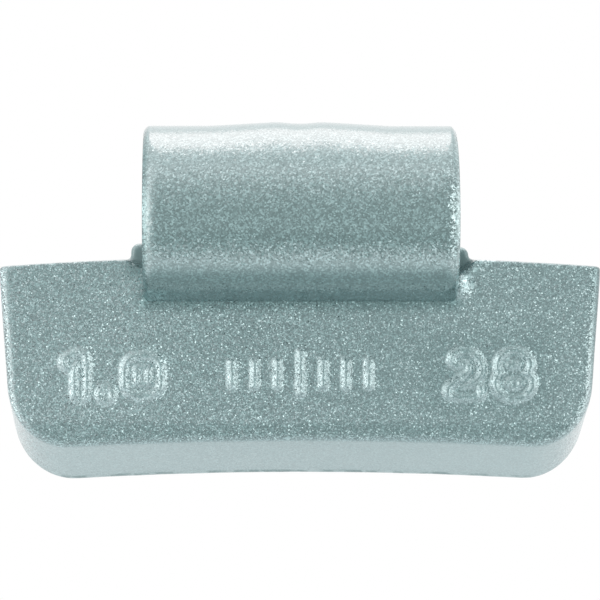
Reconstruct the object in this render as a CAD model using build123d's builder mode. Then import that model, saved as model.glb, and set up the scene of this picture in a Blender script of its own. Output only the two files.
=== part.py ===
"""Clip-on zinc wheel balance weight: a cast body and the spring-steel clip that is cast into it.

Millimetres. X runs along the rim, +Y points at the wheel, +Z points out from the wheel's axle.
The origin is the middle of the flat back face, which lies against the rim flange.
"""

import os
from math import asin, cos, degrees, radians, sin

from build123d import *

# Driving dimensions of the cast body
body_length = 42.35  # between the top corners of the front face
body_depth = 6.4  # front face to back face
front_height = 12.85  # front face, top edge to bottom edge, at the middle
bottom_drop = 3.05  # how far the bottom wall slopes down from front to back
rim_arc_radius = 300.0  # arc of the top edge about the wheel's axle
flange_round = 4.0  # round at the top of the back, clear of the rim's curl
lower_corner_radius = 4.2
end_draft = 0.4  # degrees, each end leans inwards towards the back
back_edge_radius = 0.8
front_edge_radius = 0.6

# Driving dimensions of the clip
clip_width = 22.1
clip_thickness = 1.0
bow_radius = 6.63  # outer face of the bow, the fold and the hook
bow_stand = 3.36  # how far the bow stands in front of the front face
bow_rise = 2.63  # centre of the bow above the top of the body
foot_angle = 53.0  # degrees from the foremost point of the bow down to its straight foot
foot_length = 2.2  # straight stretch that enters the body
shank_bend_radius = 2.0  # middle of the strip, inside the body
shank_length = 5.0  # straight anchor inside the body
hook_angle = 160.0  # degrees from the foremost point of the bow over the fold to the hook
lip_length = 2.0  # straight stretch at the hook's free end
tip_corner_radius = 1.5
strip_edge_radius = 0.35
anchor_hole = 3.0  # bore in the middle of the shank, which the zinc fills

# Driving dimensions of the seat round the clip's foot
boss_rise = 0.9  # boss above the top of the body, at the -X end
boss_fall = 0.25  # how far the boss slopes down to its +X end
boss_overhang = 0.87  # boss past each edge of the clip
boss_thickness = 2.8
boss_corner_radius = 0.6
boss_edge_radius = 0.35
notch_depth = 1.6  # front face to the front of the boss
notch_drop = 0.75  # below the top of the body, at the clip's edge on the -X side
notch_far_drop = 1.3  # the same at the clip's other edge
notch_overhang = 1.6  # past each edge of the clip, to where the notch runs out
dent_radius = 0.85  # of the ball that fits the dent beside the clip's edge on the +X side
dent_depth = 0.25
dent_overhang = 0.7  # middle of the dent past the clip's edge
dent_drop = 1.9  # middle of the dent below the top of the body

# Levels and places that follow
body_top = (flange_round + front_height + bottom_drop) / 2
axle_height = body_top - rim_arc_radius
front_bottom = body_top - front_height
back_bottom = front_bottom - bottom_drop
front = -body_depth
half_angle = degrees(asin(body_length / 2 / rim_arc_radius))
spare_angle = half_angle / 4  # turned past each end, then trimmed

bow_y = front - bow_stand + bow_radius
bow_z = body_top + bow_rise
mid_radius = bow_radius - clip_thickness / 2
clip_edge = clip_width / 2
boss_front = front + notch_depth
boss_top = body_top + boss_rise
boss_foot = body_top - flange_round
boss_end = clip_edge + boss_overhang
notch_end = clip_edge + notch_overhang
blank_top = body_top + flange_round  # before the top is trimmed
trim_top = blank_top + flange_round


def on_bow(angle):
    """Point on the middle of the strip, by degrees from the foremost point of the bow, up and over."""
    return (bow_y - mid_radius * cos(radians(angle)), bow_z + mid_radius * sin(radians(angle)))


def along_bow(point, angle, length):
    """Point reached from another by a straight run along the bow's own direction at an angle."""
    return (point[0] + length * sin(radians(angle)), point[1] + length * cos(radians(angle)))


def on_shank_bend(angle):
    """Point on the middle of the strip where it bends from its foot into the shank."""
    return (
        shank_top[0] - shank_bend_radius * (1 - cos(radians(angle))),
        shank_top[1] + shank_bend_radius * sin(radians(angle)),
    )


# Middle line of the strip: shank, bend, foot, bow with fold and hook, free end
foot_start = on_bow(-foot_angle)
foot_end = along_bow(foot_start, -foot_angle, -foot_length)
shank_top = (
    foot_end[0] + shank_bend_radius * (1 - cos(radians(foot_angle))),
    foot_end[1] - shank_bend_radius * sin(radians(foot_angle)),
)
shank_end = (shank_top[0], shank_top[1] - shank_length)
hook_start = on_bow(hook_angle)
hook_end = along_bow(hook_start, hook_angle, lip_length)

# Spring-steel clip: one strip, bent along a chain of tangent arcs and straight runs
with BuildPart() as clip:
    with BuildSketch(Plane.YZ):
        with BuildLine():
            Line(shank_end, shank_top)
            ThreePointArc(shank_top, on_shank_bend(foot_angle / 2), foot_end)
            Line(foot_end, foot_start)
            ThreePointArc(foot_start, on_bow((hook_angle - foot_angle) / 2), hook_start)
            Line(hook_start, hook_end)
        trace(line_width=clip_thickness)
    extrude(amount=clip_width / 2, both=True)

    # Rounded corners at the free end, then the soft edge that shearing leaves on the strip's outer face
    tip_face = clip.faces().sort_by(lambda face: (face.center() - Vector(0, *hook_end)).length)[0]
    fillet(tip_face.edges().filter_by(Axis.X, reverse=True), radius=tip_corner_radius)
    bow_edges = clip.edges().filter_by(GeomType.CIRCLE).group_by(SortBy.LENGTH)
    fillet(bow_edges[-1], radius=strip_edge_radius)

    with Locations(Location((0, shank_end[0], (shank_top[1] + shank_end[1]) / 2), (90, 0, 0))):
        Hole(radius=anchor_hole / 2)
clip.part.label = "rim_clip"

# Boss of the casting behind the clip's foot, with round shoulders
with BuildPart() as boss:
    with BuildSketch(Plane.XZ.offset(-boss_front)):
        with BuildLine():
            Polyline((-boss_end, boss_foot), (-boss_end, boss_top), (boss_end, boss_top - boss_fall),
                     (boss_end, boss_foot), close=True)
        make_face()
        fillet(vertices().sort_by(Axis.Y)[-2:], radius=boss_corner_radius)
    extrude(amount=-boss_thickness)
    boss_rims = boss.faces().filter_by(Axis.Y).edges().group_by(Axis.Z)[-1]
    fillet(boss_rims, radius=boss_edge_radius)

# Top corner of the front face at the +X end, and the way that the drafted end faces
end_corner = (body_length / 2, front, axle_height + rim_arc_radius * cos(radians(half_angle)))
end_normal = (
    cos(radians(half_angle)) * cos(radians(end_draft)),
    sin(radians(end_draft)),
    -sin(radians(half_angle)) * cos(radians(end_draft)),
)

# Cast zinc body: a short turn of one section about the axle, with drafted radial ends
axle = Axis((0, 0, axle_height), (0, 1, 0))
with BuildPart() as body:
    with BuildSketch(Plane.YZ):
        with BuildLine():
            Polyline((0, blank_top), (0, back_bottom), (front, front_bottom), (front, blank_top), close=True)
        make_face()
    revolve(axis=axle, revolution_arc=half_angle + spare_angle)
    split(bisect_by=Plane(origin=end_corner, z_dir=end_normal), keep=Keep.BOTTOM)
    end_face = body.faces().sort_by(Axis.X)[-1]
    fillet(end_face.edges().sort_by(Axis.Z)[0], radius=lower_corner_radius)
    mirror(about=Plane.YZ)

    # Soft edges of the casting, along the bottom and up the ends: at the back, then at the front
    fillet(body.faces().sort_by(Axis.Y)[-1].edges().sort_by(Axis.Z)[0], radius=back_edge_radius)
    fillet(body.faces().sort_by(Axis.Y)[0].edges().sort_by(Axis.Z)[0], radius=front_edge_radius)

    # Trimmed top, square to the front face and round where it meets the back
    with BuildSketch(Plane.YZ):
        with BuildLine():
            Polyline((0, body_top - flange_round), (flange_round, body_top - flange_round),
                     (flange_round, trim_top), (front - flange_round, trim_top),
                     (front - flange_round, body_top), (-flange_round, body_top))
            RadiusArc((-flange_round, body_top), (0, body_top - flange_round), flange_round)
        make_face()
    revolve(axis=axle, mode=Mode.SUBTRACT)

    # Notch in the front face round the clip's foot, which slopes up and runs out past the clip's edges
    with BuildSketch(Plane.XZ.offset(-front)):
        with BuildLine():
            Polyline((-notch_end, body_top), (-clip_edge, body_top - notch_drop),
                     (clip_edge, body_top - notch_far_drop), (notch_end, body_top),
                     (notch_end, boss_top), (-notch_end, boss_top), close=True)
        make_face()
    extrude(amount=-notch_depth, mode=Mode.SUBTRACT)

    # Dent in the front face, below the notch
    with Locations((clip_edge + dent_overhang, front + dent_depth - dent_radius, body_top - dent_drop)):
        Sphere(dent_radius, mode=Mode.SUBTRACT)

    # Boss, then the seat of the clip: the zinc closes round the shank and through its anchor hole
    add(boss.part)
    add(clip.part, mode=Mode.SUBTRACT)
body.part.label = "weight_body"

os.makedirs("parts", exist_ok=True)
export_step(clip.part, "parts/rim_clip.step")
export_step(body.part, "parts/weight_body.step")
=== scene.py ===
"""Dresses the clip-on wheel balance weight: the cast zinc body, the spring-steel clip and their flake coat.

The pieces are worked in millimetres, as the casting is drawn, and turned into metres when they are finished.
X runs along the rim, +Y points at the wheel and +Z points out from the axle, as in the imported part.
"""

from __future__ import annotations

import logging
import math
from dataclasses import dataclass
from enum import Enum
from typing import Any, ClassVar, Mapping

import bmesh
import bpy
from mathutils import Matrix, Vector
from mathutils.bvhtree import BVHTree


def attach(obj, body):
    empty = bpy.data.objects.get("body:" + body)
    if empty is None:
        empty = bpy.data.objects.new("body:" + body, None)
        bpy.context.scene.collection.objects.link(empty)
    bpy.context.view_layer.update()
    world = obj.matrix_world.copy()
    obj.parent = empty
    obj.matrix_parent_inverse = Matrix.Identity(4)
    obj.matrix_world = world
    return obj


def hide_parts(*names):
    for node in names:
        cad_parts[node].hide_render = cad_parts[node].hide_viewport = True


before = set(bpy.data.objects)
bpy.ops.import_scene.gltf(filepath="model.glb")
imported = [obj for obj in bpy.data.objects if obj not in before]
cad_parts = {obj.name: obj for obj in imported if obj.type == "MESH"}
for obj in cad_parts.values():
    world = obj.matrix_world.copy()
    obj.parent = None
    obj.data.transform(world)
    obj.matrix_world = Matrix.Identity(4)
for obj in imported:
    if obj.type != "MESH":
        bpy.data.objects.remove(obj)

Colour = tuple[float, float, float]
Place = tuple[float, float]
Spot = tuple[float, float, float]
Range = tuple[float, float]
Stroke = list[Place]

LOG = logging.getLogger("balance_weight")
MM = 0.001
WELD = 0.0005  # millimetres: corners that are closer than this are one
WHITE: Colour = (1.0, 1.0, 1.0)
HALF: Spot = (0.5, 0.5, 0.5)


class Value:
    """An output socket that takes part in Python arithmetic: each operator adds its node to the tree."""

    def __init__(self, maker: NodeMaker, socket: bpy.types.NodeSocket) -> None:
        """Keeps the socket and the maker of its tree."""
        self.maker = maker
        self.socket = socket

    def __add__(self, other: Any) -> Value:
        """Sum."""
        return self.maker.combine("ADD", self, other)

    def __radd__(self, other: Any) -> Value:
        """Sum, from the right."""
        return self.maker.combine("ADD", other, self)

    def __sub__(self, other: Any) -> Value:
        """Difference."""
        return self.maker.combine("SUBTRACT", self, other)

    def __rsub__(self, other: Any) -> Value:
        """Difference, from the right."""
        return self.maker.combine("SUBTRACT", other, self)

    def __mul__(self, other: Any) -> Value:
        """Product."""
        return self.maker.combine("MULTIPLY", self, other)

    def __rmul__(self, other: Any) -> Value:
        """Product, from the right."""
        return self.maker.combine("MULTIPLY", other, self)

    def __truediv__(self, other: Any) -> Value:
        """Quotient."""
        return self.maker.combine("DIVIDE", self, other)

    def __rtruediv__(self, other: Any) -> Value:
        """Quotient, from the right."""
        return self.maker.combine("DIVIDE", other, self)

    def __pow__(self, other: Any) -> Value:
        """Power."""
        return self.maker.combine("POWER", self, other)

    def __neg__(self) -> Value:
        """Opposite."""
        return self.maker.combine("MULTIPLY", self, -1.0)

    def __abs__(self) -> Value:
        """Distance from zero, for each part of a vector by itself."""
        return self.maker.combine("ABSOLUTE", self)


class NodeMaker:
    """Adds nodes to one tree, sets them and links them."""

    def __init__(self, tree: bpy.types.NodeTree) -> None:
        """Takes a shader or geometry tree and clears it."""
        self.tree = tree
        self.tree.nodes.clear()

    def add(
        self,
        kind: str,
        settings: Mapping[str, Any] | None = None,
        inputs: Mapping[str | int, Any] | None = None,
    ) -> bpy.types.Node:
        """Adds one node.

        Args:
            kind: The node's type.
            settings: Properties of the node, which are set before its sockets.
            inputs: Values or links of its sockets, by name or place.

        Returns:
            The new node.
        """
        node = self.tree.nodes.new(kind)
        for name, setting in (settings or {}).items():
            setattr(node, name, setting)
        for key, term in (inputs or {}).items():
            self._feed(node.inputs[key], term)
        return node

    def _feed(self, socket: bpy.types.NodeSocket, term: Any) -> None:
        """Links a value to a socket, or sets a plain number or colour on it.

        Args:
            socket: An input of a new node.
            term: What it gets.
        """
        if isinstance(term, Value):
            self.tree.links.new(term.socket, socket)
        elif socket.type == "RGBA" and len(term) == 3:
            socket.default_value = (*term, 1.0)
        else:
            socket.default_value = term

    def out(self, node: bpy.types.Node, key: str | int = 0) -> Value:
        """One of a node's outputs, by name or place."""
        return Value(self, node.outputs[key])

    def combine(self, operation: str, *terms: Any) -> Value:
        """Adds a Math node, or a Vector Math node where a term is a vector.

        Args:
            operation: The node's operation.
            terms: Sockets, numbers or triples.

        Returns:
            The node's result.
        """
        vectors = [self._is_vector(term) for term in terms]
        if not any(vectors):
            return self.math(operation, *terms)
        inputs: dict[str | int, Any] = dict(enumerate(terms))
        if operation == "MULTIPLY" and not all(vectors):
            long, short = terms if vectors[0] else terms[::-1]
            operation = "SCALE"
            inputs = {0: long, "Scale": short}
        return self.out(self.add("ShaderNodeVectorMath", {"operation": operation}, inputs))

    @staticmethod
    def _is_vector(term: Any) -> bool:
        """True for a vector or colour socket, and for a triple of numbers."""
        return term.socket.type in {"VECTOR", "RGBA"} if isinstance(term, Value) else isinstance(term, tuple)

    def math(self, operation: str, *terms: Any) -> Value:
        """A Math function of numbers, such as SINE, MINIMUM or SQRT."""
        return self.out(self.add("ShaderNodeMath", {"operation": operation}, dict(enumerate(terms))))

    def ease(self, value: Value, low: float | Value, high: float | Value) -> Value:
        """Rises smoothly from 0 to 1 between two levels, and stays there."""
        inputs = {"Value": value, "From Min": low, "From Max": high}
        return self.out(self.add("ShaderNodeMapRange", {"interpolation_type": "SMOOTHSTEP"}, inputs))

    def span(self, value: Value, low: float | Value, high: float | Value) -> Value:
        """Rises evenly from 0 to 1 between two levels, and stays there."""
        inputs = {"Value": value, "From Min": low, "From Max": high}
        return self.out(self.add("ShaderNodeMapRange", {"clamp": True}, inputs))

    def noise(self, place: Value, size: float | Value, detail: float = 2.0) -> Value:
        """Smooth noise from 0 to 1 in patches of a size, with so many finer layers as detail."""
        inputs = {"Vector": place, "Scale": 1.0 / size, "Detail": detail}
        return self.out(self.add("ShaderNodeTexNoise", inputs=inputs))

    def length(self, vector: Value) -> Value:
        """How long a vector is."""
        return self.out(self.add("ShaderNodeVectorMath", {"operation": "LENGTH"}, {0: vector}), "Value")

    def xyz(self, x: Any = 0.0, y: Any = 0.0, z: Any = 0.0) -> Value:
        """A vector from its three parts."""
        return self.out(self.add("ShaderNodeCombineXYZ", inputs={"X": x, "Y": y, "Z": z}))

    def parts(self, vector: Value) -> tuple[Value, Value, Value]:
        """The three parts of a vector."""
        node = self.add("ShaderNodeSeparateXYZ", inputs={"Vector": vector})
        return self.out(node, "X"), self.out(node, "Y"), self.out(node, "Z")

    def mix_colour(self, factor: Any, first: Any, second: Any) -> Value:
        """A colour between two others: a factor of 0 gives the first and 1 the second."""
        node = self.add("ShaderNodeMix", {"data_type": "RGBA"}, {0: factor, 6: first, 7: second})
        return self.out(node, 2)


class GeometryTree(NodeMaker):
    """A geometry tree with named inputs for its sizes, which ends in one dressed mesh."""

    KINDS: ClassVar[dict[type, str]] = {float: "NodeSocketFloat", int: "NodeSocketInt"}

    def __init__(self, name: str, sizes: Mapping[str, float | int | bpy.types.Object]) -> None:
        """Makes the tree and its inputs.

        Args:
            name: The tree's name.
            sizes: The named inputs with the values that they get.
        """
        super().__init__(bpy.data.node_groups.new(name, "GeometryNodeTree"))
        face = self.tree.interface
        face.new_socket("Geometry", in_out="INPUT", socket_type="NodeSocketGeometry")
        face.new_socket("Geometry", in_out="OUTPUT", socket_type="NodeSocketGeometry")
        self.values: dict[str, Any] = {}
        for label, size in sizes.items():
            kind = self.KINDS.get(type(size), "NodeSocketObject")
            self.values[face.new_socket(label, in_out="INPUT", socket_type=kind).identifier] = size
        self.entry = self.add("NodeGroupInput")

    @staticmethod
    def named(owner: Any, labels: tuple[str, ...]) -> dict[str, float | int]:
        """The owner's sizes under their labels, such as Low End for low_end."""
        return {label: getattr(owner, label.lower().replace(" ", "_")) for label in labels}

    def size(self, label: str) -> Value:
        """One of the tree's named inputs."""
        return self.out(self.entry, label)

    def close(self, geometry: Value, material: bpy.types.Material) -> None:
        """Ends the tree: smooth shading, real geometry and its material.

        Args:
            geometry: The mesh that has been built.
            material: The finish that it gets.
        """
        smooth = self.add("GeometryNodeSetShadeSmooth", inputs={"Geometry": geometry})
        real = self.add("GeometryNodeRealizeInstances", inputs={"Geometry": self.out(smooth)})
        inputs = {"Geometry": self.out(real), "Material": material}
        dressed = self.add("GeometryNodeSetMaterial", inputs=inputs)
        self.add("NodeGroupOutput", inputs={"Geometry": self.out(dressed)})

    def attach(self, piece: bpy.types.Object) -> None:
        """Puts the tree on an object as a modifier, with its sizes set by their identifiers.

        Args:
            piece: The object that gets the modifier.
        """
        modifier = piece.modifiers.new(self.tree.name, "NODES")
        modifier.node_group = self.tree
        for identifier, size in self.values.items():
            modifier[identifier] = size


class Workshop:
    """Small jobs that every piece needs: new objects, plain meshes and metres."""

    @staticmethod
    def place(name: str, mesh: bpy.types.Mesh) -> bpy.types.Object:
        """Puts a mesh in the scene as an object at the origin.

        Args:
            name: The object's name.
            mesh: Its shape.

        Returns:
            The new object.
        """
        piece = bpy.data.objects.new(name, mesh)
        bpy.context.scene.collection.objects.link(piece)
        return piece

    @staticmethod
    def settle(piece: bpy.types.Object) -> None:
        """Turns a piece into the plain mesh that its modifiers give, in metres.

        Args:
            piece: An object in millimetres, with its modifiers live.
        """
        graph = bpy.context.evaluated_depsgraph_get()
        mesh = bpy.data.meshes.new_from_object(piece.evaluated_get(graph), depsgraph=graph)
        mesh.name = piece.name
        mesh.transform(Matrix.Scale(MM, 4))
        old = piece.data
        piece.modifiers.clear()
        piece.data = mesh
        bpy.data.meshes.remove(old)

    @staticmethod
    def triangles(mesh: bpy.types.Mesh) -> int:
        """How many triangles a mesh has."""
        return sum(len(polygon.vertices) - 2 for polygon in mesh.polygons)


@dataclass(frozen=True)
class CoatAndPaintedLightSpot:
    """A place where the coat or its painted light differs: a box with soft edges, in millimetres.

    There painted shade darkens the colour, the flakes run together, a painted highlight lifts the colour to
    its brightest, or the coat turns matt, all from 0 to 1. A ragged spot has the size of its shreds as its
    rag.
    """

    middle: Spot
    reach: Spot
    soft: float
    # Painted shade: how much the colour is darkened
    painted_shade: float = 0.0
    hush: float = 0.0
    # Painted highlight: how far the colour is lifted to its brightest
    gain: float = 0.0
    matt: float = 0.0
    rag: float = 0.0
    shreds: Range = (0.4, 0.6)

    def mask(self, maker: NodeMaker, spot: Value) -> Value:
        """Where the spot lies.

        Args:
            maker: The maker of the coat's tree.
            spot: Object coordinates, in metres.

        Returns:
            1 inside the box, which fades to 0 round it.
        """
        away = abs(spot - tuple(part * MM for part in self.middle))
        mask: Any = 1.0
        for part, reach in zip(maker.parts(away), self.reach):
            mask = (1.0 - maker.ease(part, (reach - self.soft) * MM, (reach + self.soft) * MM)) * mask
        if self.rag:
            mask = mask * maker.ease(maker.noise(spot, self.rag * MM), *self.shreds)
        return mask


@dataclass(frozen=True)
class FlakeCoat:
    """Silver coat of fine metal flakes that lie askew in a clear binder, with sizes in millimetres.

    The flakes show on upright faces and run together on faces that look up or down. Faces that look down
    get painted shade, darker the more they look down, and the spots add painted shade and painted
    highlights.
    """

    name: str
    bright: Colour
    dull: Colour
    flake: float
    spread: float
    lean: float
    roughness: float
    peel: float
    peel_size: float
    # Painted shade on faces that look down: how dark, and the range of downward tilt over which it comes in
    underside_shade: float = 0.0
    underside_shade_range: Range = (0.4, 0.7)
    calm_range: Range = (0.5, 1.1)
    spots: tuple[CoatAndPaintedLightSpot, ...] = ()
    clear: float = 0.6
    clear_roughness: float = 0.2
    # How much faster red fades than green and blue under the painted shade
    painted_shade_red_fade: float = 1.3

    def build(self) -> bpy.types.Material:
        """Makes the material.

        Returns:
            The coat, patterned on Object coordinates.
        """
        material = bpy.data.materials.new(self.name)
        material.use_nodes = True
        maker = NodeMaker(material.node_tree)
        coordinates = maker.add("ShaderNodeTexCoord")
        spot = maker.out(coordinates, "Object")
        upward = maker.parts(maker.out(coordinates, "Normal"))[2]
        # Painted shade darkens faces that look down, and the spots add more painted shade and painted
        # highlights
        kept = 1.0 - maker.ease(-upward, *self.underside_shade_range) * self.underside_shade
        grain = 1.0 - maker.ease(abs(upward), *self.calm_range)
        gain: Any = 0.0
        metal: Any = 1.0
        for place in self.spots:
            mask = place.mask(maker, spot)
            kept = kept * (1.0 - mask * place.painted_shade)
            grain = grain * (1.0 - mask * place.hush)
            gain = mask * place.gain + gain
            metal = (1.0 - mask * place.matt) * metal

        # Each flake has a shade and a lean of its own
        flakes = maker.add(
            "ShaderNodeTexVoronoi",
            {"feature": "F1", "voronoi_dimensions": "3D"},
            {"Vector": spot, "Scale": 1.0 / (self.flake * MM)},
        )
        chance = maker.out(flakes, "Color")
        usual = 1.0 / (self.spread + 1.0)
        shade = usual + (maker.parts(chance)[0] ** self.spread - usual) * grain
        # Painted highlight: lifts the flakes' shade towards their brightest colour
        shade = shade + (1.0 - shade) * gain
        # The painted shade takes red out of the colour faster than green and blue
        tint = maker.xyz(kept ** self.painted_shade_red_fade, kept, kept)
        tip = (chance - HALF) * 2.0
        lean = tip * (maker.length(tip) * grain * self.lean)
        peel = maker.noise(spot, self.peel_size * MM)
        bump = {"Height": peel, "Strength": 1.0, "Distance": self.peel * MM}
        uneven = maker.add("ShaderNodeBump", inputs=bump)
        shader = maker.add(
            "ShaderNodeBsdfPrincipled",
            inputs={
                "Base Color": maker.mix_colour(shade, self.dull, self.bright) * tint,
                "Metallic": metal,
                "Roughness": self.roughness,
                "Normal": maker.combine("NORMALIZE", maker.out(uneven) + lean),
                "Coat Weight": self.clear,
                "Coat Roughness": self.clear_roughness,
            },
        )
        maker.add("ShaderNodeOutputMaterial", inputs={"Surface": maker.out(shader)})
        return material


class Mark(Enum):
    """Plain raised marks that the die leaves on the front face, as strokes about their own middle."""

    ONE = "one"
    POINT = "point"
    ZERO = "zero"
    TWO = "two"
    EIGHT = "eight"
    SHORT_TICK = "short tick"
    LONG_TICK = "long tick"

    def strokes(self) -> list[Stroke]:
        """The mark's middle lines.

        Returns:
            Open lines of places across and up, in millimetres.
        """
        if self is Mark.ONE:
            return [[(-0.75, 0.95), (0.0, 1.25), (0.0, -1.25)]]
        if self is Mark.POINT:
            return [[(-0.05, -1.3), (0.05, -1.3)]]
        if self is Mark.ZERO:
            upper = self.arc((0.0, 0.5), (0.85, 0.5), 0, 180)
            lower = self.arc((0.0, -0.5), (0.85, 0.5), 180, 360)
            return [[*upper, *lower, upper[0]]]
        if self is Mark.TWO:
            head = self.arc((0.0, 0.42), (0.8, 0.82), 125, -25)
            return [[*head, (-0.75, -1.15), (0.8, -1.15)]]
        if self is Mark.EIGHT:
            upper = self.arc((0.0, 0.68), (0.74, 0.55), 0, 360)
            lower = self.arc((0.0, -0.6), (0.88, 0.66), 0, 360)
            return [upper, lower]
        if self is Mark.SHORT_TICK:
            return [[(0.0, -0.95), (0.0, 0.75)]]
        return [[(0.0, -1.4), (0.0, 1.4)]]

    @staticmethod
    def arc(middle: Place, reach: Place, start: float, end: float, steps: int = 28) -> Stroke:
        """Places along an arc of a half width and height, by degrees anticlockwise from the right."""
        turns = [math.radians(start + (end - start) * step / steps) for step in range(steps + 1)]
        return [(middle[0] + reach[0] * math.cos(t), middle[1] + reach[1] * math.sin(t)) for t in turns]


@dataclass
class WeightBody:
    """The zinc casting: its solid with the softness of a cast and coated skin, and its raised marks.

    Sizes are in millimetres. A range says where a change starts and where it ends.
    """

    # Sizes that the skin's tree takes in
    INPUTS: ClassVar[tuple[str, ...]] = (
        "Front", "Half Length", "Top", "Arc Radius", "Seat Side", "Seat Reach", "Seat Foot", "Seat Passes",
        "Ticks End", "Rise", "Stroke", "Crest", "Flank", "Low End", "Wear", "Wear Size", "Roll",
        "Roll Width", "Bead X", "Bead Z", "Bead Reach", "Bead Rise", "Ripple", "Ripple Size",
    )

    coat: FlakeCoat
    most_triangles: int = 190000

    # The even mesh that is laid over the solid, and how far its edges are eased
    grain: float = 0.105
    ease_factor: float = 0.5
    ease_passes: int = 3

    # The solid's own places: front face, ends and top
    front: float = -6.4
    half_length: float = 21.175
    top: float = 9.95
    arc_radius: float = 300.0

    # The seat beside the clip and the top corners, which are eased further
    seat_side: float = 11.05
    seat_reach: float = 1.7
    seat_foot: float = 7.0
    seat_passes: int = 8
    seat_inner: Range = (-0.6, 0.0)
    seat_outer: Range = (-0.4, 0.4)
    seat_lower: Range = (0.0, 0.5)
    seat_upper: Range = (-0.15, 0.1)
    corner_side: Range = (-1.0, -0.4)
    corner_upper: Range = (-1.75, -1.15)

    # Raised marks: ticks are one ridge, figures are two ridges along their outline
    figures: tuple[tuple[Mark, Place], ...] = (
        (Mark.ONE, (-15.4, 1.55)),
        (Mark.POINT, (-13.62, 1.55)),
        (Mark.ZERO, (-11.05, 1.55)),
        (Mark.TWO, (11.5, 1.6)),
        (Mark.EIGHT, (15.0, 1.6)),
    )
    ticks_each_side: int = 3
    tick_pitch: float = 1.6
    tick_height: float = 1.75
    ticks_end: float = 6.2
    figures_start: Range = (0.0, 1.0)
    rise: float = 0.31
    stroke: float = 0.44
    crest: float = 0.05
    flank: float = 0.39
    mark_depth: Range = (0.04, 0.2)

    # Level strokes are lower than upright ones, and all are worn in patches
    low_end: float = 0.55
    upright: Range = (0.15, 0.75)
    ridge_top: float = 0.12
    least_away: float = 0.01
    wear: float = 0.3
    wear_size: float = 0.9
    worn: Range = (0.45, 0.65)

    # The front face's rolled ends, the bead beside the clip's foot and the ripples of the skin
    roll: float = 0.1
    roll_width: float = 0.9
    roll_depth: Range = (0.6, 3.0)
    bead_x: float = 11.25
    bead_z: float = 7.75
    bead_reach: float = 0.95
    bead_rise: float = 0.42
    bead_depth: Range = (0.3, 0.6)
    ripple: float = 0.03
    ripple_size: float = 2.2

    def casting(self) -> bpy.types.Object:
        """Copies the casting's solid, in millimetres, with the clip's seat closed.

        Returns:
            A closed body without the hollow that the clip fills.
        """
        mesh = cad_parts["weight_body"].data.copy()
        mesh.transform(Matrix.Scale(1.0 / MM, 4))
        strip = bmesh.new()
        strip.from_mesh(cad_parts["rim_clip"].data)
        bmesh.ops.scale(strip, vec=(1.0 / MM,) * 3, verts=strip.verts)
        seat = BVHTree.FromBMesh(strip)
        shape = bmesh.new()
        shape.from_mesh(mesh)
        bmesh.ops.remove_doubles(shape, verts=shape.verts, dist=WELD)
        touching = [face for face in shape.faces if self._touches(face, seat)]
        bmesh.ops.delete(shape, geom=touching, context="FACES")
        bmesh.ops.holes_fill(shape, edges=[edge for edge in shape.edges if edge.is_boundary])
        bmesh.ops.triangulate(shape, faces=shape.faces)
        shape.to_mesh(mesh)
        strip.free()
        shape.free()
        return Workshop.place("cast_body", mesh)

    @staticmethod
    def _touches(face: bmesh.types.BMFace, seat: BVHTree, reach: float = 0.002) -> bool:
        """True for a face whose middle and corners lie on the clip."""
        spots = [face.calc_center_median(), *(vert.co for vert in face.verts)]
        return all(seat.find_nearest(spot, reach)[0] is not None for spot in spots)

    def mark_lines(self) -> bpy.types.Object:
        """Draws the middle lines of the figures and the row of ticks on the front face.

        Returns:
            A helper of bare edges, in millimetres.
        """
        marks = list(self.figures)
        for step in range(-self.ticks_each_side, self.ticks_each_side + 1):
            tick = Mark.SHORT_TICK if step else Mark.LONG_TICK
            marks.append((tick, (step * self.tick_pitch, self.tick_height)))
        points: list[Spot] = []
        edges: list[tuple[int, int]] = []
        for mark, (across, up) in marks:
            for stroke in mark.strokes():
                first = len(points)
                points += [(across + x, self.front, up + z) for x, z in stroke]
                edges += [(step, step + 1) for step in range(first, len(points) - 1)]
        mesh = bpy.data.meshes.new("mark_lines")
        mesh.from_pydata(points, edges, [])
        return Workshop.place("mark_lines", mesh)

    def skin(self, lines: bpy.types.Object, material: bpy.types.Material) -> GeometryTree:
        """Builds the tree that raises the marks and gives the casting its slight unevenness.

        Args:
            lines: The marks' middle lines.
            material: The coat.

        Returns:
            The tree.
        """
        tree = GeometryTree("cast_skin", {"Lines": lines, **GeometryTree.named(self, self.INPUTS)})
        position = tree.out(tree.add("GeometryNodeInputPosition"))
        normal = tree.out(tree.add("GeometryNodeInputNormal"))
        x, y, z = tree.parts(position)
        side = abs(x)
        behind = y - tree.size("Front")
        above = z - tree.size("Top")
        end = tree.size("Half Length") * (1.0 + above / tree.size("Arc Radius"))
        at_corner = tree.ease(side - end, *self.corner_side) * tree.ease(above, *self.corner_upper)
        past_clip = side - tree.size("Seat Side")
        up_seat = z - tree.size("Seat Foot")
        at_seat = tree.ease(past_clip, *self.seat_inner) * tree.ease(up_seat, *self.seat_lower)
        at_seat = at_seat * (1.0 - tree.ease(past_clip - tree.size("Seat Reach"), *self.seat_outer))
        at_seat = at_seat * (1.0 - tree.ease(above, *self.seat_upper))
        blur = tree.add(
            "GeometryNodeBlurAttribute",
            {"data_type": "FLOAT_VECTOR"},
            {"Value": position, "Iterations": tree.size("Seat Passes"), "Weight": at_seat + at_corner},
        )
        patchy = tree.noise(position, tree.size("Wear Size"), detail=1.0)
        worn = tree.ease(patchy, *self.worn) * tree.size("Wear")
        height = self._relief(tree, x, z) * (1.0 - worn) * (1.0 - tree.ease(behind, *self.mark_depth))
        rolled = (1.0 - tree.span(end - side, 0.0, tree.size("Roll Width"))) ** 2.0 * tree.size("Roll")
        rolled = rolled * (1.0 - tree.ease(behind, *self.roll_depth))
        bead = self._bead(tree, x, z) * (0.5 + patchy) * (1.0 - tree.ease(behind, *self.bead_depth))
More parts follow.
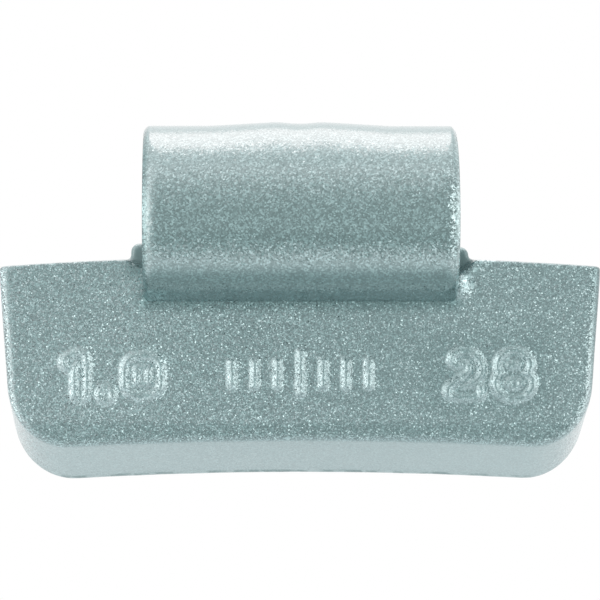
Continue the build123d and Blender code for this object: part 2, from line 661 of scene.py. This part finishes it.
        swell = (tree.noise(position, tree.size("Ripple Size"), detail=1.0) - 0.5) * tree.size("Ripple")
        offset = tree.xyz(0.0, rolled - height - bead, 0.0) + normal * swell
        moved = tree.add(
            "GeometryNodeSetPosition",
            inputs={"Geometry": tree.size("Geometry"), "Position": tree.out(blur), "Offset": offset},
        )
        tree.close(tree.out(moved), material)
        return tree

    def _relief(self, tree: GeometryTree, x: Value, z: Value) -> Value:
        """Raises the marks.

        Args:
            tree: The skin's tree.
            x: Place along the rim.
            z: Height.

        Returns:
            How far the marks stand out of the front face there, before wear.
        """
        info = tree.add("GeometryNodeObjectInfo", inputs={"Object": tree.size("Lines")})
        near = tree.add(
            "GeometryNodeProximity",
            {"target_element": "EDGES"},
            {"Geometry": tree.out(info, "Geometry"), "Sample Position": tree.xyz(x, tree.size("Front"), z)},
        )
        away = tree.out(near, "Distance")
        outlined = tree.ease(abs(x) - tree.size("Ticks End"), *self.figures_start)
        gap = abs(away - tree.size("Stroke") * outlined)
        sideways = abs(x - tree.parts(tree.out(near, "Position"))[0])
        sideways = sideways / tree.math("MAXIMUM", away, self.least_away)
        sideways = sideways + (1.0 - tree.span(away, 0.0, self.ridge_top))
        low = tree.size("Low End")
        share = low + (1.0 - low) * tree.ease(sideways, *self.upright)
        foot = tree.size("Crest") + tree.size("Flank")
        return tree.size("Rise") * (1.0 - tree.span(gap, tree.size("Crest"), foot)) * share

    @staticmethod
    def _bead(tree: GeometryTree, x: Value, z: Value) -> Value:
        """The height of the bead beside the clip's foot: a cone, before it is made uneven."""
        from_bead = tree.length(tree.xyz(x - tree.size("Bead X"), 0.0, z - tree.size("Bead Z")))
        return (1.0 - tree.span(from_bead, 0.0, tree.size("Bead Reach"))) * tree.size("Bead Rise")

    def build(self) -> bpy.types.Object:
        """Makes the dressed casting.

        Returns:
            The finished piece, which stands for the casting's solid.
        """
        piece = self.casting()
        lines = self.mark_lines()
        remesh = piece.modifiers.new("even_skin", "REMESH")
        remesh.mode = "VOXEL"
        remesh.voxel_size = self.grain
        remesh.use_smooth_shade = True
        soften = piece.modifiers.new("soft_edges", "SMOOTH")
        soften.factor = self.ease_factor
        soften.iterations = self.ease_passes
        self.skin(lines, self.coat.build()).attach(piece)
        thin = piece.modifiers.new("thin", "DECIMATE")
        thin.ratio = 1.0
        graph = bpy.context.evaluated_depsgraph_get()
        count = Workshop.triangles(piece.evaluated_get(graph).data)
        thin.ratio = min(1.0, self.most_triangles / count)
        Workshop.settle(piece)
        bpy.data.objects.remove(lines)
        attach(piece, "root")
        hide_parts("weight_body")
        return piece


class StripPath:
    """The middle line of a bent strip, from its shank over a bend, a foot and a bow to its lip."""

    def __init__(self, tree: GeometryTree) -> None:
        """Adds up the runs.

        Args:
            tree: A tree that has the runs and their turns among its sizes.
        """
        self.tree = tree
        self.bend_at = tree.size("Shank Length")
        self.foot_at = self.bend_at + tree.size("Bend")
        self.bow_at = self.foot_at + tree.size("Foot Length")
        self.lip_at = self.bow_at + tree.size("Bow")
        self.length = self.lip_at + tree.size("Lip Length")
        self.steps = tree.size("Rings") - 1.0

    def reach(self, ring: Value) -> Value:
        """How far along the strip a ring lies; the rings close up towards the free end."""
        return self.length * self.tree.math("SINE", ring / self.steps * (math.pi / 2))

    def heading(self, along: Value) -> Value:
        """Which way the strip runs there: its angle from straight up towards the wheel."""
        to_foot = self.tree.span(along, self.bend_at, self.foot_at) * self.tree.size("Foot Turn")
        return self.tree.span(along, self.bow_at, self.lip_at) * self.tree.size("Bow Turn") - to_foot

    def middle(self, ring: Value, around: Value) -> Value:
        """Walks along the strip, one stride for each ring.

        Args:
            ring: The ring that a point belongs to.
            around: Which of the ring's points it is.

        Returns:
            The middle of the strip at that ring.
        """
        tree = self.tree
        stride = self.reach(ring + 1.0) - self.reach(ring)
        ahead = self.heading(self.reach(ring + 0.5))
        walk = tree.add(
            "GeometryNodeAccumulateField",
            {"data_type": "FLOAT_VECTOR", "domain": "POINT"},
            {
                "Value": tree.xyz(0.0, tree.math("SINE", ahead), tree.math("COSINE", ahead)) * stride,
                "Group ID": around,
            },
        )
        return tree.xyz(0.0, tree.size("Start Back"), tree.size("Start Up")) + tree.out(walk, "Trailing")


@dataclass
class RimClip:
    """The spring-steel clip: one strip that is bent along straight runs and arcs, with a crown at its fold.

    Sizes are in millimetres, and angles in degrees from the foremost point of the bow, up and over.
    """

    # Sizes that the strip's tree takes as they are
    INPUTS: ClassVar[tuple[str, ...]] = (
        "Width", "Thickness", "Edge Width", "Edge Depth", "Edge Bulge", "Slim Edge", "Shank Length",
        "Foot Length", "Lip Length", "Tip Radius", "Crown", "Crown Dip", "Ripple", "Ripple Size", "Rings",
        "Ring Points",
    )

    coat: FlakeCoat
    rings: int = 300
    ring_points: int = 161

    # The strip and its runs, as in the solid
    width: float = 22.1
    thickness: float = 1.0
    bow_radius: float = 6.63
    bow_front: float = -9.76
    bow_height: float = 12.58
    foot_angle: float = 53.0
    foot_length: float = 2.2
    bend_radius: float = 2.0
    shank_length: float = 5.0
    hook_angle: float = 160.0
    lip_length: float = 2.0
    tip_radius: float = 1.5

    # The soft edges of the strip, which are widest on the bow, and its blunt start
    edge_width: float = 0.92
    edge_depth: float = 0.42
    edge_bulge: float = 1.3
    slim_edge: float = 0.38
    bow_start: Range = (-50.0, -15.0)
    bow_stop: Range = (30.0, 70.0)
    blunt_start: float = 0.3
    corner_spread: float = 3.0

    # The crown of the fold, with a dip in its middle, and the ripples of the strip
    crown: float = 0.27
    crown_run: Range = (1.8, 6.4)
    crown_dip: float = 0.1
    dip_run: Range = (0.1, 1.7)
    fold_start: Range = (25.0, 75.0)
    fold_stop: Range = (110.0, 150.0)
    ripple: float = 0.035
    ripple_size: float = 5.0

    @property
    def middle_radius(self) -> float:
        """Radius of the bow at the middle of the strip."""
        return self.bow_radius - self.thickness / 2

    def start(self) -> Place:
        """Finds where the strip starts inside the casting.

        Returns:
            Its place back and up.
        """
        foot = math.radians(self.foot_angle)
        back = self.bow_front + self.bow_radius - self.middle_radius * math.cos(foot)
        up = self.bow_height - self.middle_radius * math.sin(foot)
        back += self.foot_length * math.sin(foot) + self.bend_radius * (1 - math.cos(foot))
        up -= self.foot_length * math.cos(foot) + self.bend_radius * math.sin(foot) + self.shank_length
        return back, up

    def sizes(self) -> dict[str, float | int]:
        """Names the sizes that the strip's tree takes in.

        Returns:
            Each input with its value.
        """
        back, up = self.start()
        foot_turn = math.radians(self.foot_angle)
        bow_turn = math.radians(self.foot_angle + self.hook_angle)
        return {
            **GeometryTree.named(self, self.INPUTS),
            "Bend": self.bend_radius * foot_turn,
            "Bow": self.middle_radius * bow_turn,
            "Foot Turn": foot_turn,
            "Bow Turn": bow_turn,
            "Start Back": back,
            "Start Up": up,
        }

    def strip(self, material: bpy.types.Material) -> GeometryTree:
        """Builds the tree that walks along the strip's middle line and lays its section round it.

        Args:
            material: The coat.

        Returns:
            The tree.
        """
        tree = GeometryTree("bent_strip", self.sizes())
        points = tree.size("Ring Points")
        sheet = tree.add(
            "GeometryNodeMeshGrid",
            inputs={"Size X": 1.0, "Size Y": 1.0, "Vertices X": tree.size("Rings"), "Vertices Y": points},
        )
        index = tree.out(tree.add("GeometryNodeInputIndex"))
        ring = tree.math("FLOOR", (index + 0.5) / points)
        around = index - ring * points
        path = StripPath(tree)
        along = path.reach(ring)
        turn = path.heading(along)
        outward = tree.xyz(0.0, -tree.math("COSINE", turn), tree.math("SINE", turn))
        angle = around / (points - 1.0) * (2.0 * math.pi)
        across, through = self._section(tree, angle, along, path.length - along, turn)
        raised = through + self._crown(tree, turn, abs(across))
        place = path.middle(ring, around) + outward * raised + tree.xyz(across)
        swell = (tree.noise(place, tree.size("Ripple Size"), detail=1.0) - 0.5) * tree.size("Ripple")
        moved = tree.add(
            "GeometryNodeSetPosition",
            inputs={"Geometry": tree.out(sheet), "Position": place + outward * swell},
        )
        joined = tree.add(
            "GeometryNodeMergeByDistance",
            inputs={"Geometry": tree.out(moved), "Distance": WELD},
        )
        tree.close(tree.out(joined), material)
        return tree

    def _section(
        self, tree: GeometryTree, angle: Value, along: Value, left: Value, turn: Value
    ) -> tuple[Value, Value]:
        """Lays a point on the strip's section, which narrows round the corners of the free end.

        Args:
            tree: The strip's tree.
            angle: Where the point lies round the section.
            along: How far along the strip it lies.
            left: How much of the strip is left.
            turn: Which way the strip runs there.

        Returns:
            The point's place across the strip and through it.
        """
        tip = tree.size("Tip Radius")
        corner = tip - tree.math("MINIMUM", left, tip)
        inset = tip - tree.math("SQRT", tree.math("MAXIMUM", tip ** 2.0 - corner ** 2.0, 0.0))
        half_width = tree.size("Width") / 2.0 - inset
        half_thick = tree.size("Thickness") / 2.0
        depth = tree.size("Edge Depth")
        ends = tree.math("MINIMUM", left / depth, along / self.blunt_start)
        blunt = 1.0 - tree.math("MINIMUM", ends, 1.0)
        squeeze = tree.math("SQRT", tree.math("MAXIMUM", 1.0 - blunt * blunt, 0.0))
        on_bow = self._between(tree, turn, self.bow_start, self.bow_stop)
        width = tree.size("Edge Width") * (tree.size("Slim Edge") * (1.0 - on_bow) + on_bow)
        far_x = half_width * tree.math("COSINE", angle)
        far_t = half_thick * self.corner_spread * tree.math("SINE", angle)
        near_x = self._within(tree, far_x, half_width - width)
        near_t = self._within(tree, far_t, half_thick - depth)
        push = tree.combine("NORMALIZE", tree.xyz(far_x - near_x, far_t - near_t))
        push_x, push_t, _ = tree.parts(push)
        bulge = tree.size("Edge Bulge")
        short = (abs(push_x) ** bulge + abs(push_t) ** bulge) ** (1.0 / bulge)
        return near_x + push_x / short * width, (near_t + push_t / short * depth) * squeeze

    @staticmethod
    def _within(tree: GeometryTree, value: Value, limit: Value) -> Value:
        """A number, kept between a limit and its opposite."""
        return tree.math("MAXIMUM", tree.math("MINIMUM", value, limit), -limit)

    @staticmethod
    def _between(tree: GeometryTree, turn: Value, start: Range, stop: Range) -> Value:
        """Rises smoothly to 1 over the start and falls to 0 over the stop, both in degrees of turn."""
        risen = tree.ease(turn, *map(math.radians, start))
        return risen * (1.0 - tree.ease(turn, *map(math.radians, stop)))

    def _crown(self, tree: GeometryTree, turn: Value, side: Value) -> Value:
        """Raises the middle of the fold.

        Args:
            tree: The strip's tree.
            turn: Which way the strip runs.
            side: Distance from the middle of the strip.

        Returns:
            How far the strip is pushed outwards.
        """
        hump = tree.size("Crown") * (1.0 - tree.span(side, *self.crown_run))
        dip = tree.size("Crown Dip") * (1.0 - tree.ease(side, *self.dip_run))
        return self._between(tree, turn, self.fold_start, self.fold_stop) * (hump - dip)

    def build(self) -> bpy.types.Object:
        """Makes the dressed clip.

        Returns:
            The finished piece, which stands for the clip's solid.
        """
        piece = Workshop.place("spring_clip", bpy.data.meshes.new("spring_clip"))
        self.strip(self.coat.build()).attach(piece)
        Workshop.settle(piece)
        shape = bmesh.new()
        shape.from_mesh(piece.data)
        bmesh.ops.recalc_face_normals(shape, faces=shape.faces)
        shape.to_mesh(piece.data)
        shape.free()
        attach(piece, "root")
        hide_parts("rim_clip")
        return piece


@dataclass(frozen=True)
class Softbox:
    """An even round lamp that faces the object, with its sizes in millimetres."""

    name: str
    place: Spot
    size: Place
    glow: float
    tint: Colour = (1.0, 0.95, 0.93)

    def build(self) -> None:
        """Hangs the lamp, with the power that gives its face this glow."""
        data = bpy.data.lights.new(self.name, "AREA")
        data.shape = "ELLIPSE"
        data.size = self.size[0] * MM
        data.size_y = self.size[1] * MM
        area = math.pi / 4 * data.size * data.size_y
        data.energy = math.pi * area * self.glow
        data.color = self.tint
        lamp = bpy.data.objects.new(self.name, data)
        lamp.location = Vector(self.place) * MM
        lamp.rotation_euler = Vector(self.place).to_track_quat("Z", "Y").to_euler()
        bpy.context.scene.collection.objects.link(lamp)


@dataclass
class Studio:
    """A white light tent with a shaded opening at the camera, a pale floor and a camera square to the front.

    Sizes are in millimetres, and angles in degrees.
    """

    # Camera
    eye: Spot = (-5.0, -256.4, 6.85)
    aim: Spot = (-0.035, -6.4, 6.85)
    lens: float = 213.9
    sensor: float = 36.0
    clip_start: float = 10.0
    clip_end: float = 20000.0

    # Tent and its opening
    opening: Colour = (0.435, 0.515, 0.512)
    opening_tilt: float = -12.0
    opening_turn: float = 16.0
    opening_inner: float = 15.0
    opening_outer: float = 100.0

    # Floor, and how far out it turns white, to the camera and in mirrors
    floor_height: float = -20.0
    floor_front: float = -41.0
    floor_reach: float = 900.0
    floor_colour: Colour = (0.865, 0.9, 0.91)
    floor_fade: Range = (22.0, 40.0)
    mirrored_fade: Range = (35.0, 75.0)

    # Lamps
    softboxes: tuple[Softbox, ...] = (
        Softbox("top_softbox", (0.0, 125.0, 335.0), size=(250.0, 250.0), glow=0.68, tint=(1.0, 0.72, 0.7)),
        Softbox("left_softbox", (-330.0, -155.0, 10.0), size=(310.0, 380.0), glow=1.0),
        Softbox("right_softbox", (330.0, -155.0, 10.0), size=(310.0, 380.0), glow=0.85),
    )

    # Flags at the sides
    flag_side: float = 150.0
    flag_front: float = 15.0
    flag_back: float = 400.0
    flag_top: float = 110.0
    flag_colour: Colour = (0.72, 0.74, 0.74)

    def camera(self) -> None:
        """Sets up the camera for a square picture."""
        data = bpy.data.cameras.new("camera")
        data.lens = self.lens
        data.sensor_width = self.sensor
        data.clip_start = self.clip_start * MM
        data.clip_end = self.clip_end * MM
        camera = bpy.data.objects.new("camera", data)
        camera.location = Vector(self.eye) * MM
        camera.rotation_euler = (Vector(self.aim) - Vector(self.eye)).to_track_quat("-Z", "Y").to_euler()
        bpy.context.scene.collection.objects.link(camera)
        bpy.context.scene.camera = camera

    def world(self) -> None:
        """Lights the scene as a white tent, which darkens towards the opening at the camera."""
        world = bpy.data.worlds.new("light_tent")
        world.use_nodes = True
        maker = NodeMaker(world.node_tree)
        way = maker.out(maker.add("ShaderNodeTexCoord"), "Generated")
        tilt = math.radians(self.opening_tilt)
        turn = math.radians(self.opening_turn)
        axis = (math.sin(turn) * math.cos(tilt), -math.cos(turn) * math.cos(tilt), math.sin(tilt))
        toward = maker.add("ShaderNodeVectorMath", {"operation": "DOT_PRODUCT"}, {0: way, 1: axis})
        shaded = maker.ease(
            maker.out(toward, "Value"),
            math.cos(math.radians(self.opening_outer)),
            math.cos(math.radians(self.opening_inner)),
        )
        light = maker.add("ShaderNodeLightPath")
        tent = maker.mix_colour(shaded, WHITE, self.opening)
        colour = maker.mix_colour(maker.out(light, "Is Camera Ray"), tent, WHITE)
        background = maker.add("ShaderNodeBackground", inputs={"Color": colour, "Strength": 1.0})
        maker.add("ShaderNodeOutputWorld", inputs={"Surface": maker.out(background)})
        bpy.context.scene.world = world

    def floor(self) -> None:
        """Lays the pale floor, which keeps the shadow near the object and runs out into white."""
        side = self.floor_reach
        corners = [(-side, self.floor_front), (side, self.floor_front), (side, side), (-side, side)]
        mesh = bpy.data.meshes.new("floor")
        mesh.from_pydata([(x * MM, y * MM, self.floor_height * MM) for x, y in corners], [], [(0, 1, 2, 3)])
        material = bpy.data.materials.new("pale_floor")
        material.use_nodes = True
        maker = NodeMaker(material.node_tree)
        x, y, _ = maker.parts(maker.out(maker.add("ShaderNodeTexCoord"), "Object"))
        reach = maker.math("SQRT", x * x + y * y)
        light = maker.add("ShaderNodeLightPath")
        seen = maker.out(light, "Is Camera Ray")
        glossy = maker.out(light, "Is Glossy Ray")
        mirrored = maker.math("MAXIMUM", glossy, maker.out(light, "Is Transmission Ray"))
        seen = seen * maker.ease(reach, *(limit * MM for limit in self.floor_fade))
        mirrored = mirrored * maker.ease(reach, *(limit * MM for limit in self.mirrored_fade))
        faded = maker.math("MAXIMUM", seen, mirrored)
        matt = maker.add("ShaderNodeBsdfDiffuse", inputs={"Color": self.floor_colour})
        white = maker.add("ShaderNodeEmission", inputs={"Color": WHITE, "Strength": 1.0})
        mixed = maker.add("ShaderNodeMixShader", inputs={0: faded, 1: maker.out(matt), 2: maker.out(white)})
        maker.add("ShaderNodeOutputMaterial", inputs={"Surface": maker.out(mixed)})
        mesh.materials.append(material)
        Workshop.place("floor", mesh)

    def flags(self) -> None:
        """Stands a grey flag behind the object on each side, which shows only as a line along its ends."""
        material = bpy.data.materials.new("grey_flag")
        material.use_nodes = True
        maker = NodeMaker(material.node_tree)
        glow = maker.add("ShaderNodeEmission", inputs={"Color": self.flag_colour, "Strength": 1.0})
        maker.add("ShaderNodeOutputMaterial", inputs={"Surface": maker.out(glow)})
        corners = [
            (self.flag_front, self.floor_height),
            (self.flag_back, self.floor_height),
            (self.flag_back, self.flag_top),
            (self.flag_front, self.flag_top),
        ]
        for name, side in (("left_flag", -self.flag_side), ("right_flag", self.flag_side)):
            mesh = bpy.data.meshes.new(name)
            mesh.from_pydata([(side * MM, y * MM, z * MM) for y, z in corners], [], [(0, 1, 2, 3)])
            mesh.materials.append(material)
            flag = Workshop.place(name, mesh)
            flag.visible_camera = False
            flag.visible_diffuse = False
            flag.visible_shadow = False

    def build(self) -> None:
        """Sets up the camera, the light and the floor."""
        self.camera()
        self.world()
        self.floor()
        self.flags()
        for softbox in self.softboxes:
            softbox.build()
        bpy.context.scene.view_settings.view_transform = "Standard"


def cast_coat() -> FlakeCoat:
    """Chooses the coat of the casting: fine, strongly leaning flakes.

    Returns:
        The coat, with its spots of painted shade and painted highlight, and where its flakes differ.
    """
    spots = (
        # Painted shade in the recesses at the ends of the boss behind the clip, where the flakes also run
        # together and the coat turns matt, and painted shadow on the face below its -X end
        CoatAndPaintedLightSpot(middle=(-11.5, -5.2, 9.7), reach=(1.0, 1.0, 0.9), soft=0.3, painted_shade=0.3, hush=1.0, matt=0.85),
        CoatAndPaintedLightSpot(middle=(11.5, -5.2, 9.4), reach=(1.0, 1.0, 0.9), soft=0.3, painted_shade=0.4, hush=1.0, matt=0.85),
        CoatAndPaintedLightSpot(middle=(-11.6, -6.5, 8.95), reach=(0.6, 0.4, 0.4), soft=0.3, painted_shade=0.16),
        # Painted shadow in a band along the clip's foot
        CoatAndPaintedLightSpot(middle=(0.0, -6.4, 6.85), reach=(11.2, 0.9, 0.62), soft=0.55, painted_shade=0.34),
        # Painted highlight on the raised marks, where the flakes also run together a little
        CoatAndPaintedLightSpot(middle=(0.0, -6.85, 1.6), reach=(18.0, 0.4, 2.8), soft=0.06, hush=0.2, gain=0.15),
        # Ragged painted highlights beside the clip's foot at the +X end, then at the foot's own corners
        CoatAndPaintedLightSpot(middle=(11.75, -6.3, 8.0), reach=(0.5, 0.6, 0.6), soft=0.2, gain=1.0, rag=0.3),
        CoatAndPaintedLightSpot(middle=(12.4, -6.3, 8.95), reach=(0.3, 0.5, 0.2), soft=0.1, gain=1.0, rag=0.3),
        CoatAndPaintedLightSpot(middle=(12.9, -6.3, 9.55), reach=(0.8, 0.5, 0.15), soft=0.08, gain=1.0, rag=0.3),
        CoatAndPaintedLightSpot(middle=(-11.0, -6.4, 6.75), reach=(0.25, 0.5, 0.4), soft=0.12, gain=1.0, rag=0.35),
        CoatAndPaintedLightSpot(middle=(10.9, -6.4, 6.9), reach=(0.3, 0.5, 0.35), soft=0.12, gain=0.9, rag=0.35),
        # Painted shade on the front edge at the +X end, and the +X half, where the flakes lie flatter
        CoatAndPaintedLightSpot(middle=(21.1, -6.0, 3.5), reach=(0.55, 1.5, 9.0), soft=0.3, painted_shade=0.32),
        CoatAndPaintedLightSpot(middle=(17.0, -6.4, 3.0), reach=(14.0, 6.0, 16.0), soft=5.0, hush=0.2),
        # Painted shade on the lower edge of the front face and the back part of the bottom wall, and a
        # ragged line of painted shade along its back edge
        CoatAndPaintedLightSpot(middle=(0.0, -6.5, -2.6), reach=(19.0, 0.35, 0.8), soft=0.3, painted_shade=0.14),
        CoatAndPaintedLightSpot(middle=(0.0, 0.6, -5.0), reach=(22.0, 1.8, 4.0), soft=1.6, painted_shade=0.11),
        CoatAndPaintedLightSpot(middle=(0.0, -0.9, -5.9), reach=(17.0, 0.5, 1.0), soft=0.15, painted_shade=0.42, rag=1.0),
        # Painted shade on the middle of the front face and on the ground of the figures at the +X end
        CoatAndPaintedLightSpot(middle=(0.0, -6.4, 3.5), reach=(9.0, 5.0, 5.5), soft=4.0, painted_shade=0.07),
        CoatAndPaintedLightSpot(middle=(13.2, -6.4, 1.6), reach=(4.4, 3.0, 2.8), soft=1.4, painted_shade=0.11),
    )
    return FlakeCoat(
        name="cast_flake_coat",
        bright=(0.8, 0.985, 1.0),
        dull=(0.3, 0.37, 0.38),
        flake=0.08,
        spread=1.7,
        lean=0.34,
        roughness=0.28,
        peel=0.02,
        peel_size=0.9,
        spots=spots,
    )


def strip_coat() -> FlakeCoat:
    """Chooses the coat of the clip: smoother than the casting's, with painted shade under the bow.

    Returns:
        The coat, with its spots of painted shade and painted highlight.
    """
    spots = (
        # Painted shade in lines along the strip's two edges
        CoatAndPaintedLightSpot(middle=(-11.0, -8.0, 13.0), reach=(0.25, 6.0, 9.0), soft=0.2, painted_shade=0.36),
        CoatAndPaintedLightSpot(middle=(10.73, -8.0, 13.0), reach=(0.1, 6.0, 9.0), soft=0.08, painted_shade=0.16),
        # Painted shade in bands across the bow, from the fold down to the foot
        CoatAndPaintedLightSpot(middle=(0.0, -8.2, 16.7), reach=(11.2, 1.2, 0.45), soft=0.45, painted_shade=0.12),
        CoatAndPaintedLightSpot(middle=(0.0, -9.5, 11.0), reach=(11.2, 1.0, 0.5), soft=0.5, painted_shade=0.11),
        CoatAndPaintedLightSpot(middle=(0.0, -9.2, 9.9), reach=(11.2, 1.2, 0.5), soft=0.5, painted_shade=0.08),
        CoatAndPaintedLightSpot(middle=(0.0, -7.5, 8.3), reach=(11.2, 2.0, 0.6), soft=0.5, painted_shade=0.16),
        # Ragged painted highlight on the -X corner of the foot
        CoatAndPaintedLightSpot(middle=(-10.3, -6.8, 7.1), reach=(0.9, 0.9, 0.4), soft=0.2, gain=1.0, rag=0.3),
    )
    return FlakeCoat(
        name="strip_flake_coat",
        bright=(0.765, 0.94, 0.955),
        dull=(0.345, 0.425, 0.43),
        flake=0.105,
        spread=2.0,
        lean=0.14,
        roughness=0.21,
        peel=0.012,
        peel_size=1.2,
        # Painted shade on the faces under the bow that look down
        underside_shade=0.39,
        underside_shade_range=(0.4, 0.66),
        calm_range=(0.25, 1.3),
        spots=spots,
    )


def main() -> None:
    """Builds the studio and the two pieces."""
    logging.basicConfig(level=logging.INFO, format="%(name)s: %(message)s")
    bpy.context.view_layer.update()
    Studio().build()
    for piece in (WeightBody(cast_coat()).build(), RimClip(strip_coat()).build()):
        LOG.info("%s: %d triangles", piece.name, Workshop.triangles(piece.data))


if __name__ == "__main__":
    main()
